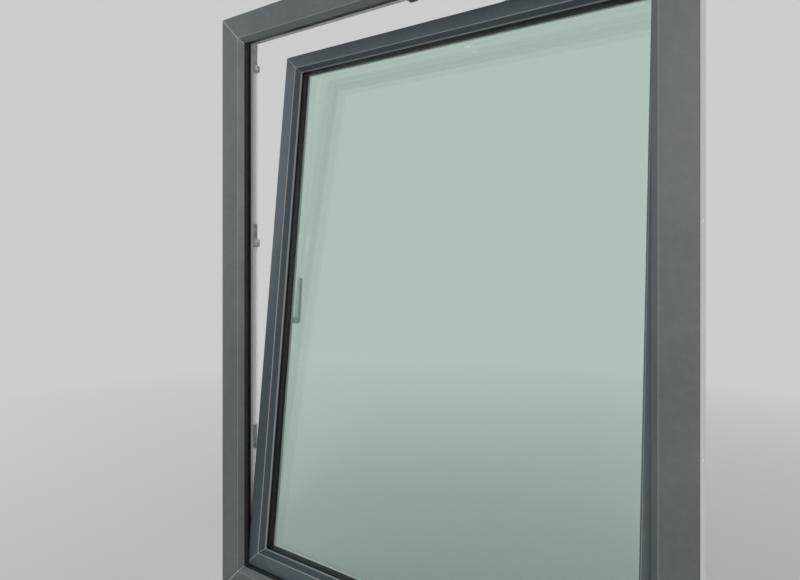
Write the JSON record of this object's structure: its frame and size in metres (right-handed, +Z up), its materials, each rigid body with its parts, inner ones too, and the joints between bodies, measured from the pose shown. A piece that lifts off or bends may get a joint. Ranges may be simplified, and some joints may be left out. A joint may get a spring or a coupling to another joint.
{
  "type": "tilt and turn window",
  "caption": "Plastic tilt and turn window: welded frame, double-glazed sash leaning in on its stay, with handle, drive rods, keeps and corner hinge.",
  "frame": {"origin": "middle of the frame's underside", "axes": "+X to the right seen from outside, +Y into the room, +Z up; the lock side is at -X and the hinge side at +X"},
  "size_m": [1.15, 0.2479, 1.53],
  "materials": {
    "frame_profile": "satin anthracite foil on the outer face, plain white plastic in the rebate and towards the room",
    "sash_profile": "satin anthracite foil on the outer face, plain white plastic in the rebate and towards the room",
    "white_plastic": "smooth, lightly glossy",
    "white_paint": "powder coat, semi-gloss",
    "grey_plastic": "moulded, matt",
    "black_rubber": "extruded, matt",
    "zinc_steel": "bright zinc plate, finely drawn",
    "cast_zinc": "die cast, silver passivated",
    "spacer_aluminium": "mill finish",
    "clear_glass": "clear float with a faint green tint"
  },
  "bodies": {
    "frame": {"frame_head": "frame_profile", "frame_sill": "frame_profile", "frame_jamb_lock": "frame_profile", "frame_jamb_hinge": "frame_profile", "frame_steel": "zinc_steel", "frame_gasket": "black_rubber", "centre_gasket": "black_rubber", "keep_lower": "cast_zinc", "keep_middle": "cast_zinc", "keep_upper": "cast_zinc", "keep_head": "cast_zinc", "keep_tilt": "cast_zinc", "keep_screws": "zinc_steel", "drain_caps": "grey_plastic", "corner_bearing": "zinc_steel", "corner_bearing_pin": "zinc_steel", "stay_bearing": "zinc_steel", "stay_bearing_pin": "zinc_steel", "bearing_covers": "white_plastic", "bearing_screws": "zinc_steel"},
    "yoke": {"tilt_yoke": "cast_zinc"},
    "sash": {"sash_top_rail": "sash_profile", "sash_bottom_rail": "sash_profile", "sash_stile_lock": "sash_profile", "sash_stile_hinge": "sash_profile", "sash_steel": "zinc_steel", "sash_gasket": "black_rubber", "glazing_gasket_outer": "black_rubber", "glazing_gasket_inner": "black_rubber", "glass_outer": "clear_glass", "glass_inner": "clear_glass", "spacer_bar": "spacer_aluminium", "edge_seal": "black_rubber", "bead_top": "white_plastic", "bead_bottom": "white_plastic", "bead_lock": "white_plastic", "bead_hinge": "white_plastic", "setting_blocks": "grey_plastic", "gearbox_case": "cast_zinc", "faceplate_lock": "zinc_steel", "faceplate_head": "zinc_steel", "faceplate_sill": "zinc_steel", "faceplate_hinge": "zinc_steel", "faceplate_screws": "zinc_steel", "corner_drive_upper": "zinc_steel", "corner_drive_lower": "zinc_steel", "corner_leaf": "cast_zinc", "leaf_screws": "zinc_steel", "stay_guide": "zinc_steel", "handle_rose": "white_plastic", "handle_rose_cover": "white_paint", "handle_screws": "zinc_steel"},
    "handle": {"handle_lever": "white_paint", "handle_spindle": "zinc_steel", "gearbox_pinion": "cast_zinc"},
    "lock_rod": {"lock_rod": "zinc_steel"},
    "head_rod": {"head_rod": "zinc_steel"},
    "sill_rod": {"sill_rod": "zinc_steel"},
    "stay": {"stay_arm": "zinc_steel", "stay_end_pin": "zinc_steel"}
  },
  "joints": [
    {"name": "turn", "type": "hinge", "parent": "frame", "child": "yoke", "pos_m": [0.541, 0.05, 0.036], "axis": [0, 0, -1], "range_deg": [0, 90]},
    {"name": "tilt", "type": "hinge", "parent": "yoke", "child": "sash", "pos_m": [0.541, 0.05, 0.036], "axis": [-1, 0, 0], "range_deg": [-6, 0]},
    {"name": "stay_swing", "type": "hinge", "parent": "yoke", "child": "stay", "pos_m": [0.541, 0.05, 1.4575], "axis": [0, 0, -1], "range_deg": [-19.27, 0]},
    {"name": "handle_turn", "type": "hinge", "parent": "sash", "child": "handle", "pos_m": [-0.4965, 0.09944, 0.71204], "axis": [0, 0.9945, -0.1045], "range_deg": [0, 180]},
    {"name": "lock_rod_slide", "type": "slide", "parent": "sash", "child": "lock_rod", "axis": [0, -0.1045, -0.9945], "range_m": [0, 0.0361]},
    {"name": "head_rod_slide", "type": "slide", "parent": "sash", "child": "head_rod", "axis": [-1, 0, 0], "range_m": [0, 0.0361]},
    {"name": "sill_rod_slide", "type": "slide", "parent": "sash", "child": "sill_rod", "axis": [1, 0, 0], "range_m": [0, 0.0361]}
  ],
  "couplings": [
    {"joint": "stay_swing", "follows": "tilt", "ratio": 3.211},
    {"joint": "lock_rod_slide", "follows": "handle_turn", "m_per_rad": 0.011459},
    {"joint": "head_rod_slide", "follows": "handle_turn", "m_per_rad": 0.011459},
    {"joint": "sill_rod_slide", "follows": "handle_turn", "m_per_rad": 0.011459}
  ]
}
